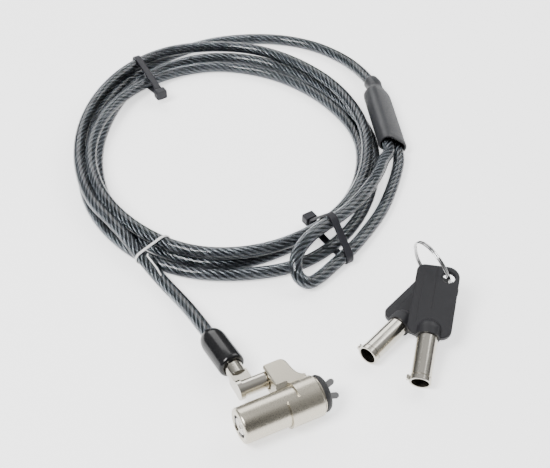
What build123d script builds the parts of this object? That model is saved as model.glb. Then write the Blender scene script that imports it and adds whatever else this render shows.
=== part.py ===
"""Laptop cable lock: a push-to-lock head with two splaying hooks, a steel cable with a crimped
eye, the ties that hold its coil, and two tubular keys on a split ring.

Millimetres, +Z up.  The origin is the middle of the bumper's front face.  +X runs along the lock's
axis towards the hooks, and +Y runs from the lock's axis towards the cable's swivel boss.
"""
from build123d import *
import math
import os

os.makedirs("parts", exist_ok=True)

# ---------------------------------------------------------------- fits
RUN = 0.08          # radial clearance of a part that slides or turns in a bore
LOOSE = 0.3         # clearance of parts that must never touch
FLOOR_Z = -8.0      # surface that everything lies on

# ---------------------------------------------------------------- lock barrel
BARREL_R = 6.9
BARREL_REAR_X = -35.0
BARREL_FRONT_X = -8.5
BARREL_BORE_R = 5.5
BARREL_FACE = 1.8           # thickness of the wall round the keyway
BARREL_CHAMFER = 0.9
KEY_TUBE_R = 4.0
KEY_TUBE_WALL = 0.6
KEY_COLLAR_R = 4.2
KEY_COLLAR_L = 2.5
KEY_LUG = (2.0, 1.5, 1.2)   # length, width, height
KEYWAY_R = KEY_COLLAR_R + RUN
KEYWAY_LUG_R = KEY_COLLAR_R + KEY_LUG[2]      # reach of the two notches that take the key's lug
KEYWAY_LUG_W = KEY_LUG[1] + 0.4
PUSH_TRAVEL = 4.0           # how far the barrel springs back when the key frees it
CYLINDER_SHOULDER_X = -25.2
CYLINDER_FRONT_X = -18.6
POST_R = KEY_TUBE_R - KEY_TUBE_WALL - RUN
POST_SLIT_W = 0.5
PLUG_FLANGE_R = 4.6
PLUG_FLANGE_L = 3.0
PLUG_LIP_T = 0.5
PIN_COUNT = 7
PIN_R = 0.3
PIN_CIRCLE_R = KEY_TUBE_R - KEY_TUBE_WALL / 2
PIN_STAND_OUT = 2.2         # key pins reach this far into the keyway
DRIVER_L = 2.4
SPRING_SEAT_X = -19.4

# ---------------------------------------------------------------- nose and hooks
NOSE_R = BARREL_R
NOSE_REAR_X = -8.0
NOSE_FRONT_X = -2.6
NOSE_BOSS_R = 4.6
NOSE_BOSS_X = -0.8
NOSE_TUBE_R = 4.2
NOSE_TUBE_X = -15.0
NOSE_BORE_R = 3.05
BUMPER_R = 7.2
BUMPER_FACE_R = 5.8
BUMPER_SLOT = (7.6, 3.1)    # splay direction, thickness direction
HOOK_ROLL = 39.0            # splay direction, turned from +Y towards +Z
HOOK_W = 2.44
HOOK_T = 2.5
HOOK_TIP_X = 4.5
HOOK_TIP_L = 0.9            # tapered end of the prong
HOOK_OFFSET = 1.28          # pivots either side of the axis
HOOK_PIVOT_X = -1.6
HOOK_SPLAY = 16.0
HOOK_TAIL_L = 3.9
HOOK_TAIL_W = 1.0
JAW_PIN_R = 0.55
JAW_PIN_L = 6.0
FORK_REACH_X = -4.9
FORK_W = 0.9
SPINDLE_R = 2.4
SPINDLE_FLANGE_R = 5.3
SPINDLE_FLANGE_T = 1.0
SPRING_WIRE_R = 0.35
SPRING_R = 4.85
SPRING_TURNS = 5
RING_X = -6.6
RING_T = 0.8
RING_IN_R = 6.2
RING_OUT_R = 7.35

# ---------------------------------------------------------------- collar and hood
COLLAR_R = 7.95
COLLAR_REAR_X = -16.9
COLLAR_FRONT_X = -3.2
COLLAR_EDGE = 0.7
NOTCH_X = -12.0
NOTCH_ANGLES = (34.0, 112.0)    # from +Y towards +Z
BOSS_Y = 14.8
BOSS_R = 3.2
HOOD_TOP_Z = 5.0
HOOD_REAR_X = -16.7
HOOD_SIDE_Y = 18.1
HOOD_CREST_X = -10.4
HOOD_FRONT_X = -4.4
HOOD_EDGE = 0.7
HOOD_MOUTH_R = 4.0
HOOD_MOUTH_DEPTH = 0.9

# ---------------------------------------------------------------- elbow, boot
TONGUE_X = -28.5
TONGUE_T = 1.9
TONGUE_R = 3.8
FLAT_Z = 2.2                # the tongue's top is milled flat between boss and stem
STEM_R = 3.5
STEM_STEP_Y = 20.8
STEM_END_Y = 36.0
BOSS_FRONT_X = -8.6
CLIP_X = -12.6
CLIP_T = 0.8
CLIP_R = 2.5
CLIP_OUT_R = 4.1
BOOT_START_Y = 26.0
BOOT_L = 19.6
BOOT_R = 5.3
BOOT_YAW = 3.0
BOOT_DROP = 3.0

# ---------------------------------------------------------------- cable
CABLE_D = 5.5
CABLE_R = CABLE_D / 2
COIL_C = (29.0, 153.0)
COIL_TURN = -22.0
COIL_OUT = (70.2, 86.8, 60.0)    # half width, half length, end radius
COIL_OUT_SHIFT = (1.2, 0.3)
COIL_IN = (58.6, 68.5, 52.0)
COIL_IN_SHIFT = (3.9, -5.4)
COIL_H = 10.7
COIL_EDGE = 3.2
LEAD_OUT = 12.0             # the lead leaves the boot straight for this long
LEAD = [(-27.4, 71, -4.4), (-29.6, 84, -5.1), (-31.6, 95, -3.6), (-34, 107, -1.6)]
TAIL = [(34, 238.5, -5.2), (57, 238, -5.2), (82, 232, -5.2), (98, 222.5, -5.2), (110, 209.5, -5.2),
        (117, 194, -5.2), (118.6, 179, -4.0), (117, 163, -2.1)]
EYE_OUT = 10.0              # both legs leave the crimp straight for this long
EYE = [(87, 101, 2.0), (78.5, 94.5, 6.2), (69, 89, 6.4), (57.5, 83.5, 6.2), (46, 79, 6.2), (34.5, 73.6, 6.2),
       (26.4, 66.6, 3.4), (25.2, 60.2, -2.4), (30.6, 56.8, -4.8), (41, 60, -3.9), (54, 67.5, -3.9),
       (67, 77, -4.6), (79, 87.5, -5.2), (90, 98, -5.0)]

# ---------------------------------------------------------------- sleeve at the eye
SLEEVE_DIR = (-0.344, -0.939)
SLEEVE_START = (113.8, 153.6, -2.1)
SLEEVE_ROLL = 36.0          # its coil side leans up on the coil
SLEEVE_L = 42.0
SLEEVE_W = 13.6
SLEEVE_T = 7.9
SLEEVE_WALL = 0.9
SLEEVE_MOUTH = 5.0
NECK_R = 3.5
FERRULE_L = 30.0

# ---------------------------------------------------------------- ties
TIE_W = 3.2
TIE_T = 1.1
TIE_HEAD = (4.6, 5.6, 3.8)  # along the strap, across it, height
TIE_HEAD_EDGE = 0.8
TIE_STUB_L = 1.2            # cut end that stands out of the head
TIE_HEAD_GAP = 0.1
TIE_1_SPAN = (-16.1, 13.9)  # the coil's inner and outer sides at each strap
TIE_2_SPAN = (-15.0, 0.0)
THREAD_SPAN = (-9.0, 8.7)
TIE_1_HEAD_Z = -2.2
TIE_2_HEAD_Z = -4.4
EYE_LEGS = ((-6.1, 6.0), (10.2, -3.6))    # the eye's two legs where the second tie holds them
LEG_GAP = 0.5
THREAD_W = 0.9
STRAP_SINK = 0.5            # how far a pulled strap presses into the coil

# ---------------------------------------------------------------- keys
KEY_EXPOSED = 19.5
KEY_SEAT = 4.4
KEY_NOTCH_W = 1.5
BOW_L = 32.5
BOW_W = 17.2
BOW_T = 2.5
BOW_EDGE = 0.4
BOW_BOSS_R = 4.8
BOW_BOSS_L = 2.6            # straight part of the boss before its dome
BOW_TAPER = 0.8             # the far end slants by this much
BOW_CORNERS = [4.2, 5.0, 3.2, 4.2]
BOW_HOLE_R = 2.5
BOW_HOLE_END = 5.2          # from the hole to the bow's end
BOW_HOLE_SIDE = 4.3         # from the hole to the bow's side
# mouth, yaw and the rise of the bow's end
KEY_PLACES = {"key_1": ((24.5, 10.5), 21.5, 2.5), "key_2": ((35.2, -10.0), 49.8, 14.5)}
KEY_RING_R = 11.5
KEY_RING_WIRE = 0.75
KEY_RING_LEAN = (-0.1, 0.98, 0.16)


def rod(x0, x1, r, y=0.0, z=0.0):
    """Round bar along X from x0 to x1."""
    low = (Align.CENTER, Align.CENTER, Align.MIN)
    return Location(Plane.YZ) * Pos(y, z, x0) * Cylinder(r, x1 - x0, align=low)


def turned(points):
    """Solid of revolution about X from (x, radius) points."""
    outline = Polyline(*[(x, r) for x, r in points], close=True)
    return revolve(make_face(outline), Axis.X, 360)


def splay_box(x0, x1, across, thick, at=0.0):
    """Block along X in the hooks' own turned directions: across = splay, thick = hook thickness."""
    block = Box(x1 - x0, across, thick, align=(Align.MIN, Align.CENTER, Align.CENTER))
    return Rot(HOOK_ROLL, 0, 0) * Pos(x0, at, 0) * block


def on_circle(count, radius, start=0.0):
    """Angles' (y, z) places round the lock's axis."""
    turns = [math.radians(start + 360.0 * i / count) for i in range(count)]
    return [(radius * math.cos(a), radius * math.sin(a)) for a in turns]


# ================================================================ lock barrel
def barrel_shell():
    body = turned([(BARREL_REAR_X, 0), (BARREL_REAR_X, BARREL_R - BARREL_CHAMFER),
                   (BARREL_REAR_X + BARREL_CHAMFER, BARREL_R), (BARREL_FRONT_X, BARREL_R), (BARREL_FRONT_X, 0)])
    body -= rod(BARREL_REAR_X + BARREL_FACE, BARREL_FRONT_X, BARREL_BORE_R)
    body -= rod(BARREL_REAR_X, BARREL_REAR_X + BARREL_FACE, KEYWAY_R)
    face_x = BARREL_REAR_X + BARREL_FACE / 2
    lug = Box(BARREL_FACE, 2 * KEYWAY_LUG_R, KEYWAY_LUG_W)
    body -= Pos(face_x, 0, 0) * Rot(125, 0, 0) * lug
    return body


def lock_cylinder():
    flange_x = CYLINDER_SHOULDER_X - PLUG_FLANGE_L - RUN
    body = rod(flange_x - PLUG_LIP_T, CYLINDER_FRONT_X, BARREL_BORE_R)
    body -= rod(flange_x - PLUG_LIP_T, flange_x, KEYWAY_R)
    body -= rod(flange_x, CYLINDER_SHOULDER_X, PLUG_FLANGE_R + RUN)
    for y, z in on_circle(PIN_COUNT, PIN_CIRCLE_R):
        body -= rod(CYLINDER_SHOULDER_X, SPRING_SEAT_X, PIN_R + RUN, y, z)
    return body


def key_plug():
    flange_x = CYLINDER_SHOULDER_X - PLUG_FLANGE_L
    body = rod(BARREL_REAR_X + 0.3, flange_x, POST_R) + rod(flange_x, CYLINDER_SHOULDER_X - RUN, PLUG_FLANGE_R)
    body -= Pos(BARREL_REAR_X + 0.9, 0, 0) * Rot(125, 0, 0) * Box(1.2, POST_R * 1.1, POST_SLIT_W)
    for y, z in on_circle(PIN_COUNT, PIN_CIRCLE_R):
        body -= rod(flange_x, CYLINDER_SHOULDER_X, PIN_R + RUN / 2, y, z)
    return body


def key_pins():
    rear = CYLINDER_SHOULDER_X - PLUG_FLANGE_L - PIN_STAND_OUT
    front = CYLINDER_SHOULDER_X - RUN
    return Compound([rod(rear, front, PIN_R, y, z) for y, z in on_circle(PIN_COUNT, PIN_CIRCLE_R)])


def driver_pins():
    rear, front = CYLINDER_SHOULDER_X, CYLINDER_SHOULDER_X + DRIVER_L
    return Compound([rod(rear, front, PIN_R, y, z) for y, z in on_circle(PIN_COUNT, PIN_CIRCLE_R)])


def pin_springs():
    rear = CYLINDER_SHOULDER_X + DRIVER_L
    springs = [rod(rear, SPRING_SEAT_X, PIN_R, y, z) - rod(rear, SPRING_SEAT_X, PIN_R / 2, y, z)
               for y, z in on_circle(PIN_COUNT, PIN_CIRCLE_R)]
    return Compound(springs)


def spindle():
    """Flanged stem with a fork that squeezes the hooks' tails while the barrel is home."""
    body = rod(CYLINDER_FRONT_X, CYLINDER_FRONT_X + SPINDLE_FLANGE_T, SPINDLE_FLANGE_R)
    body += rod(CYLINDER_FRONT_X, NOSE_REAR_X - 2.0, SPINDLE_R)
    arm_at = NOSE_BORE_R - RUN - FORK_W / 2 - 0.35
    for side in (1, -1):
        body += splay_box(NOSE_REAR_X - 3.0, FORK_REACH_X, FORK_W, HOOK_T * 0.7, side * arm_at)
    return body


def return_spring():
    """Coil spring between the spindle's flange and the nose."""
    rear = CYLINDER_FRONT_X + SPINDLE_FLANGE_T + SPRING_WIRE_R + 0.05
    length = NOSE_REAR_X - SPRING_WIRE_R - 0.25 - rear
    path = Helix(pitch=length / SPRING_TURNS, height=length, radius=SPRING_R)
    section = Plane(origin=path @ 0, z_dir=path % 0) * Circle(SPRING_WIRE_R)
    coil = sweep(section, path=path, is_frenet=True)
    return Pos(rear, 0, 0) * Rot(0, 90, 0) * coil


# ================================================================ nose and hooks
def nose_block():
    groove = RING_T / 2 + RUN
    body = turned([(NOSE_TUBE_X, 0), (NOSE_TUBE_X, NOSE_TUBE_R), (NOSE_REAR_X, NOSE_TUBE_R), (NOSE_REAR_X, NOSE_R),
                   (RING_X - groove, NOSE_R), (RING_X - groove, RING_IN_R), (RING_X + groove, RING_IN_R),
                   (RING_X + groove, NOSE_R), (NOSE_FRONT_X, NOSE_R), (NOSE_FRONT_X, NOSE_BOSS_R),
                   (NOSE_BOSS_X, NOSE_BOSS_R), (NOSE_BOSS_X, 0)])
    body -= rod(NOSE_TUBE_X, NOSE_REAR_X + 0.5, NOSE_BORE_R)
    body -= splay_box(NOSE_REAR_X, NOSE_BOSS_X, 2 * NOSE_BORE_R, HOOK_T + 4 * RUN)
    for pin in pin_bars(JAW_PIN_R):
        body -= pin
    return body


def pin_bars(radius):
    """The two pivot pins, across the hooks' thickness."""
    bars = []
    for side in (1, -1):
        bar = Pos(HOOK_PIVOT_X, side * HOOK_OFFSET, 0) * Cylinder(radius, JAW_PIN_L)
        bars.append(Rot(HOOK_ROLL, 0, 0) * bar)
    return bars


def jaw_pins():
    return Compound(pin_bars(JAW_PIN_R))


def hook(side):
    """One hook: round knuckle, square prong with rounded tip, and a short tail, splayed as when locked."""
    r = HOOK_W / 2
    tip = HOOK_TIP_X - HOOK_PIVOT_X
    shoulder = tip - HOOK_TIP_L
    prong = Polyline((0, -r), (shoulder, -r), (tip, -0.45 * r), (tip, 0.45 * r), (shoulder, r), (0, r), close=True)
    outline = make_face(prong) + Circle(r)
    tail = Pos(-HOOK_TAIL_L / 2, 0) * Rectangle(HOOK_TAIL_L, HOOK_TAIL_W)
    outline = Rot(0, 0, side * HOOK_SPLAY) * outline + Pos(0, -side * 0.35) * tail
    solid = extrude(outline, HOOK_T / 2, both=True)
    tips = [e for e in solid.edges().filter_by(Axis.Z) if e.center().X > 4.0]
    solid = fillet(tips, 0.4)
    solid -= Cylinder(JAW_PIN_R + 0.05, HOOK_T * 2)
    return Rot(HOOK_ROLL, 0, 0) * Pos(HOOK_PIVOT_X, side * HOOK_OFFSET, 0) * solid


def bumper():
    """Rubber ring on the nose's boss with a domed face and a slot for the hooks."""
    outline = make_face(Polyline((NOSE_FRONT_X, 0), (NOSE_FRONT_X, BUMPER_R), (NOSE_FRONT_X + 1.1, BUMPER_R),
                                 (-0.45, BUMPER_FACE_R + 0.7), (0, BUMPER_FACE_R), (0, 0), close=True))
    body = revolve(outline, Axis.X, 360)
    body -= rod(NOSE_FRONT_X, NOSE_BOSS_X, NOSE_BOSS_R)
    body -= splay_box(NOSE_BOSS_X - 1.0, 1.0, *BUMPER_SLOT)
    return body


def retaining_ring():
    ring = rod(RING_X - RING_T / 2, RING_X + RING_T / 2, RING_OUT_R)
    ring -= rod(RING_X - RING_T / 2, RING_X + RING_T / 2, RING_IN_R)
    return ring - Pos(RING_X, 0, -RING_OUT_R) * Box(RING_T * 2, 3.0, 4.0)


# ================================================================ collar with its hood
def hood_outline():
    side = Line((HOOD_REAR_X, 0), (HOOD_REAR_X, HOOD_SIDE_Y))
    top = Line((HOOD_REAR_X, HOOD_SIDE_Y), (HOOD_CREST_X, HOOD_SIDE_Y))
    mid_x = (HOOD_CREST_X + HOOD_FRONT_X) / 2
    mid_y = (HOOD_SIDE_Y + COLLAR_R) / 2
    slope = Spline((HOOD_CREST_X, HOOD_SIDE_Y), (mid_x, mid_y), (HOOD_FRONT_X, COLLAR_R),
                   tangents=[(1, 0), (1, -0.25)])
    back = Polyline((HOOD_FRONT_X, COLLAR_R), (HOOD_FRONT_X, 0), (HOOD_REAR_X, 0))
    return make_face(side + top + slope + back)


def sector(r, a0, a1):
    """Wedge of the YZ plane between two angles, as a face in that plane."""
    steps = 8
    rim = [math.radians(a0 + (a1 - a0) * i / steps) for i in range(steps + 1)]
    points = [(0, 0)] + [(r * math.cos(a), r * math.sin(a)) for a in rim]
    return Location(Plane.YZ) * make_face(Polyline(*points, close=True))


def collar_housing():
    bore_r = BARREL_R + RUN
    body = turned([(COLLAR_REAR_X, 0), (COLLAR_REAR_X, COLLAR_R), (COLLAR_FRONT_X - COLLAR_EDGE, COLLAR_R),
                   (COLLAR_FRONT_X, COLLAR_R - COLLAR_EDGE), (COLLAR_FRONT_X, 0)])
    hood = extrude(hood_outline(), HOOD_TOP_Z, both=True)
    corner = [e for e in hood.edges().filter_by(Axis.Z) if e.center().Y > HOOD_SIDE_Y - 0.1 and
              e.center().X < HOOD_REAR_X + 0.1]
    hood = fillet(corner, 1.0)
    flats = hood.faces().sort_by(Axis.Z)
    rim = [e for e in flats[-1].edges() + flats[0].edges() if e.center().Y > COLLAR_R + 0.6]
    hood = fillet(rim, HOOD_EDGE)
    body += hood
    body -= rod(COLLAR_REAR_X, COLLAR_FRONT_X, bore_r)
    groove = RING_T / 2 + RUN
    body -= rod(RING_X - groove, RING_X + groove, RING_OUT_R + RUN)
    body -= Pos(COLLAR_REAR_X, 0, 0) * extrude(sector(COLLAR_R * 1.3, *NOTCH_ANGLES), NOTCH_X - COLLAR_REAR_X)
    body -= rod(HOOD_REAR_X, BOSS_FRONT_X + LOOSE, BOSS_R + RUN, BOSS_Y)
    body -= rod(HOOD_REAR_X, HOOD_REAR_X + HOOD_MOUTH_DEPTH, HOOD_MOUTH_R, BOSS_Y)
    body -= rod(CLIP_X - CLIP_T / 2, CLIP_X + CLIP_T / 2, CLIP_OUT_R, BOSS_Y)
    return body


def boss_clip():
    """C-clip seated in the hood that runs in the boss's groove."""
    clip = rod(CLIP_X - CLIP_T / 2, CLIP_X + CLIP_T / 2, CLIP_OUT_R, BOSS_Y)
    clip -= rod(CLIP_X - CLIP_T / 2, CLIP_X + CLIP_T / 2, CLIP_R + RUN, BOSS_Y)
    return clip - Pos(CLIP_X, BOSS_Y + CLIP_OUT_R, 0) * Box(CLIP_T * 2, CLIP_OUT_R * 2, 2.2)


# ================================================================ elbow fitting and boot
def elbow_fitting():
    """Tongue with the swivel boss on one side and the cable's crimp stem at its end."""
    low = (Align.MIN, Align.MIN, Align.MIN)
    body = rod(TONGUE_X, TONGUE_X + TONGUE_T, TONGUE_R, BOSS_Y)
    body += Pos(TONGUE_X, BOSS_Y, -STEM_R) * Box(2 * STEM_R, STEM_STEP_Y - BOSS_Y + 1, STEM_R + FLAT_Z, align=low)
    body += rod(TONGUE_X + TONGUE_T / 2, BOSS_FRONT_X, BOSS_R, BOSS_Y)
    stem_x = TONGUE_X + STEM_R
    stem = Location(Plane.XZ) * Pos(stem_x, 0, -STEM_END_Y) * Cylinder(
        STEM_R, STEM_END_Y - STEM_STEP_Y, align=(Align.CENTER, Align.CENTER, Align.MIN))
    body += stem
    groove = CLIP_T / 2 + RUN
    ring = rod(CLIP_X - groove, CLIP_X + groove, BOSS_R * 2, BOSS_Y)
    ring -= rod(CLIP_X - groove, CLIP_X + groove, CLIP_R, BOSS_Y)
    return body - ring


def boot_frame():
    """Plane at the boot's mouth, Z along its axis towards the cable."""
    yaw, drop = math.radians(BOOT_YAW), math.radians(BOOT_DROP)
    axis = Vector(-math.sin(yaw), math.cos(yaw) * math.cos(drop), -math.sin(drop)).normalized()
    return Plane(origin=(TONGUE_X + STEM_R, BOOT_START_Y, 0), x_dir=(1, 0, 0), z_dir=axis)


def boot():
    dome = 3.6
    flat = CABLE_R + 0.1
    wall = Polyline((0, 0), (BOOT_R - 0.9, 0), (BOOT_R, 0.9), (BOOT_R, BOOT_L - dome))
    shoulder = ThreePointArc((BOOT_R, BOOT_L - dome), (BOOT_R - 0.72, BOOT_L - 1.25), (flat, BOOT_L))
    end = Polyline((flat, BOOT_L), (0, BOOT_L), (0, 0))
    body = revolve(Location(Plane.XZ) * make_face(wall + shoulder + end), Axis.Z, 360)
    body = Location(boot_frame()) * body
    pocket = Location(Plane.XZ) * Pos(TONGUE_X + STEM_R, 0, -STEM_END_Y) * Cylinder(
        STEM_R, STEM_END_Y, align=(Align.CENTER, Align.CENTER, Align.MIN))
    return body - pocket


# ================================================================ cable
def tube(points):
    """Cable along straight runs joined by tangent arcs, each as large as its two runs allow."""
    points = [Vector(*p) for p in points]
    radii = []
    for a, b, c in zip(points, points[1:], points[2:]):
        half = math.radians((b - a).get_angle(c - b) / 2)
        run = min((b - a).length, (c - b).length)
        radii.append(0.45 * run / math.tan(half))
    path = FilletPolyline(*points, radius=radii)
    section = Plane(origin=points[0], z_dir=(points[1] - points[0]).normalized()) * Circle(CABLE_R)
    return sweep(section, path=path)


def boot_end():
    return boot_frame().origin + boot_frame().z_dir * BOOT_L


def lead_points():
    return [tuple(boot_end()), tuple(boot_end() + boot_frame().z_dir * LEAD_OUT)] + LEAD


def oval(half_w, half_l, end_r):
    """Four-arc oval, longer along Y, its side arcs worked out to meet the end arcs tangentially."""
    up = half_l - end_r
    side_r = (half_w ** 2 + up ** 2 - end_r ** 2) / (2 * (half_w - end_r))
    away = math.hypot(side_r - half_w, up)
    x, y = end_r * (side_r - half_w) / away, up + end_r * up / away
    right = ThreePointArc((x, -y), (half_w, 0), (x, y))
    top = ThreePointArc((x, y), (0, half_l), (-x, y))
    left = ThreePointArc((-x, y), (-half_w, 0), (-x, -y))
    return make_face([right, top, left, ThreePointArc((-x, -y), (0, -half_l), (x, -y))])


def coil_block():
    """The hank's outer shape: two ovals that don't share a middle."""
    outer = Pos(*COIL_OUT_SHIFT) * oval(*COIL_OUT)
    inner = Pos(*COIL_IN_SHIFT) * oval(*COIL_IN)
    block = extrude(outer - inner, COIL_H)
    rims = block.faces().sort_by(Axis.Z)[0].edges() + block.faces().sort_by(Axis.Z)[-1].edges()
    block = fillet(rims, COIL_EDGE)
    return Pos(COIL_C[0], COIL_C[1], FLOOR_Z) * Rot(0, 0, COIL_TURN) * block


def sleeve_across():
    """Direction of the sleeve's width, away from the coil and down by its roll."""
    ux, uy = SLEEVE_DIR
    roll = math.radians(SLEEVE_ROLL)
    return Vector(-uy * math.cos(roll), ux * math.cos(roll), -math.sin(roll))


def sleeve_point(along, across=0.0):
    """Point in the sleeve, measured from its neck end towards the eye and across its width."""
    return tuple(Vector(*SLEEVE_START) + Vector(*SLEEVE_DIR, 0) * along + sleeve_across() * across)


def eye_points():
    leg_at = SLEEVE_L - SLEEVE_MOUTH
    gap = CABLE_R + 0.05
    legs = [[sleeve_point(leg_at, side), sleeve_point(leg_at + EYE_OUT, side)] for side in (-gap, gap)]
    return legs[0] + EYE + legs[1][::-1]


# ================================================================ sleeve at the eye
def sleeve_plane(along):
    return Plane(origin=sleeve_point(along), x_dir=sleeve_across(), z_dir=(*SLEEVE_DIR, 0))


def shrink_sleeve():
    """Moulded sleeve: round neck on the cable, flat body over the crimp, open mouth at the eye."""
    section = RectangleRounded(SLEEVE_W, SLEEVE_T, SLEEVE_T * 0.42)
    body = extrude(sleeve_plane(0) * section, SLEEVE_L)
    end = Vector(*TAIL[-1])
    way = (end - Vector(*TAIL[-2])).normalized()
    neck_plane = Plane(origin=end, z_dir=way)
    waist = sleeve_plane(-1.6) * RectangleRounded(8.6, 7.4, 3.4)
    neck = loft([neck_plane * RectangleRounded(2 * NECK_R, 2 * NECK_R, NECK_R * 0.92), waist])
    shoulder = loft([waist, sleeve_plane(0.8) * RectangleRounded(SLEEVE_W - 0.6, SLEEVE_T - 0.2, SLEEVE_T * 0.42)])
    body = body + shoulder + neck
    inner_w, inner_t = SLEEVE_W - 2 * SLEEVE_WALL, SLEEVE_T - 2 * SLEEVE_WALL
    pocket = sleeve_plane(SLEEVE_L - SLEEVE_MOUTH - FERRULE_L) * RectangleRounded(inner_w, inner_t, inner_t * 0.45)
    return body - extrude(pocket, FERRULE_L + SLEEVE_MOUTH)


def crimp_ferrule():
    inner_w, inner_t = SLEEVE_W - 2 * SLEEVE_WALL, SLEEVE_T - 2 * SLEEVE_WALL
    section = RectangleRounded(inner_w, inner_t, inner_t * 0.45)
    return extrude(sleeve_plane(SLEEVE_L - SLEEVE_MOUTH - FERRULE_L) * section, FERRULE_L)


# ================================================================ ties
def hull(circles, grow=0.0):
    return make_hull([e for u, z, r in circles for e in (Pos(u, z) * Circle(r + grow)).edges()])


def band(plane, circles, thick, width):
    """Strap round the hull of some circles, in an upright plane whose X is level and Y is up."""
    return extrude(plane * (hull(circles, thick) - hull(circles)), width / 2, both=True)


def groove(plane, circles, width):
    """What a pulled strap presses away: everything outside its inner outline."""
    around = Rectangle(COIL_OUT[0], COIL_OUT[0])
    return extrude(plane * (around - hull(circles)), width / 2, both=True)


def upright_plane(point, towards):
    """Upright plane through a point, X level along the direction, Y up."""
    x_dir = Vector(*towards).normalized()
    return Plane(origin=point, x_dir=x_dir, z_dir=x_dir.cross(Vector(0, 0, 1)))


def coil_corners(u0, u1, lift):
    """Circles at the corners of the coil's section, from its inner side u0 to its outer side u1."""
    r = COIL_EDGE
    low, top = FLOOR_Z + lift + r, FLOOR_Z + COIL_H - STRAP_SINK - r
    return [(u0 + r, low, r), (u1 - r, low, r), (u0 + r, top, r), (u1 - r, top, r)]


# each strap: its plane, its hull's circles, its thickness and width
TIE_1 = upright_plane((18.4, 222.0, 0), (-0.03, 1.0, 0))
TIE_2 = upright_plane((44.0, 72.0, 0), (0.1, -1.0, 0))
THREAD = upright_plane((-27.0, 99.8, 0), (-0.99, -0.15, 0))


LEG_CIRCLES = [(u, z, CABLE_R + LEG_GAP) for u, z in EYE_LEGS]
STRAPS = {
    "tie_1_strap": (TIE_1, coil_corners(*TIE_1_SPAN, TIE_T), TIE_T, TIE_W),
    "tie_2_strap": (TIE_2, coil_corners(*TIE_2_SPAN, TIE_T) + LEG_CIRCLES, TIE_T, TIE_W),
    "thread_loop": (THREAD, coil_corners(*THREAD_SPAN, THREAD_W), THREAD_W, THREAD_W),
}


def tie_head(plane, inner_u, z):
    """Ratchet head outside the strap on the coil's inner side, the strap's cut end standing out below."""
    length, width, height = TIE_HEAD
    head = Box(height, length, width)
    stub = Pos(0, -(length + TIE_STUB_L) / 2, 0) * Box(TIE_T, TIE_STUB_L, TIE_W)
    u = inner_u - TIE_T - TIE_HEAD_GAP - height / 2
    return plane.location * Pos(u, z, 0) * (fillet(head.edges().filter_by(Axis.X), TIE_HEAD_EDGE) + stub)


# ================================================================ keys and ring
def key_tube():
    """Tubular key blade along +X, mouth at the origin."""
    end = KEY_EXPOSED + KEY_SEAT
    body = rod(0, end, KEY_TUBE_R) + rod(0, KEY_COLLAR_L, KEY_COLLAR_R)
    body -= rod(0, end, KEY_TUBE_R - KEY_TUBE_WALL)
    long, wide, high = KEY_LUG
    body += Pos(KEY_COLLAR_L - long / 2, KEY_COLLAR_R + high / 2 - 0.3, 0) * Box(long, high, wide)
    body -= Pos(0.7, 0, KEY_COLLAR_R) * Box(1.4, KEY_NOTCH_W, 2.4)
    return body


def bow_hole():
    return KEY_EXPOSED + BOW_L - BOW_HOLE_END, BOW_HOLE_SIDE - BOW_W / 2


def key_bow():
    """Moulded bow: plate with a ring hole in one corner and a domed boss that grips the tube."""
    x0, x1 = KEY_EXPOSED, KEY_EXPOSED + BOW_L
    half = BOW_W / 2
    corners = [(x0, -half), (x1, -half), (x1 - BOW_TAPER, half), (x0, half)]
    outline = FilletPolyline(*corners, radius=BOW_CORNERS, close=True)
    plate = extrude(make_face(outline), BOW_T / 2, both=True)
    plate -= Pos(*bow_hole(), 0) * Cylinder(BOW_HOLE_R, BOW_T * 2)
    plate = chamfer(plate.faces().sort_by(Axis.Z)[-1].edges() + plate.faces().sort_by(Axis.Z)[0].edges(), BOW_EDGE)
    plate += rod(x0, x0 + BOW_BOSS_L, BOW_BOSS_R) + Pos(x0 + BOW_BOSS_L, 0, 0) * Sphere(BOW_BOSS_R)
    plate -= rod(x0 - BOW_BOSS_R, x0, BOW_BOSS_R + 1.0)
    return plate - rod(0, KEY_EXPOSED + KEY_SEAT, KEY_TUBE_R)


def key_location(name):
    (x, y), yaw, pitch = KEY_PLACES[name]
    return Pos(x, y, FLOOR_Z + KEY_COLLAR_R) * Rot(0, 0, yaw) * Rot(0, -pitch, 0)


def hole_point(name):
    return (key_location(name) * Pos(*bow_hole(), 0)).position


def ring_plane():
    """The split ring's plane: it passes through both holes and leans away over the bows' ends."""
    upper, lower = hole_point("key_2"), hole_point("key_1")
    chord = lower - upper
    tangent = chord.normalized()
    away = Vector(*KEY_RING_LEAN)
    away = (away - tangent * away.dot(tangent)).normalized()
    middle = (upper + lower) * 0.5 + away * math.sqrt(KEY_RING_R ** 2 - (chord.length / 2) ** 2)
    return Plane(origin=middle, x_dir=away, z_dir=away.cross(tangent))


def key_ring():
    """Split ring, its two closed turns of wire taken as one."""
    return ring_plane().location * Torus(KEY_RING_R, KEY_RING_WIRE)


# ================================================================ write the nodes
PARTS = {}
PARTS["barrel_shell"] = barrel_shell()
PARTS["lock_cylinder"] = lock_cylinder()
PARTS["key_plug"] = key_plug()
PARTS["key_pins"] = key_pins()
PARTS["driver_pins"] = driver_pins()
PARTS["pin_springs"] = pin_springs()
PARTS["spindle"] = spindle()
PARTS["return_spring"] = return_spring()
PARTS["nose_block"] = nose_block()
PARTS["jaw_pins"] = jaw_pins()
PARTS["hook_upper"] = hook(1)
PARTS["hook_lower"] = hook(-1)
PARTS["bumper"] = bumper()
PARTS["retaining_ring"] = retaining_ring()
PARTS["collar_housing"] = collar_housing()
PARTS["boss_clip"] = boss_clip()
PARTS["elbow_fitting"] = elbow_fitting()
PARTS["cable_boot"] = boot()
PARTS["cable_lead"] = tube(lead_points())
PARTS["cable_tail"] = tube(TAIL)
PARTS["cable_eye"] = tube(eye_points())
PARTS["shrink_sleeve"] = shrink_sleeve()
PARTS["crimp_ferrule"] = crimp_ferrule()
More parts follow.
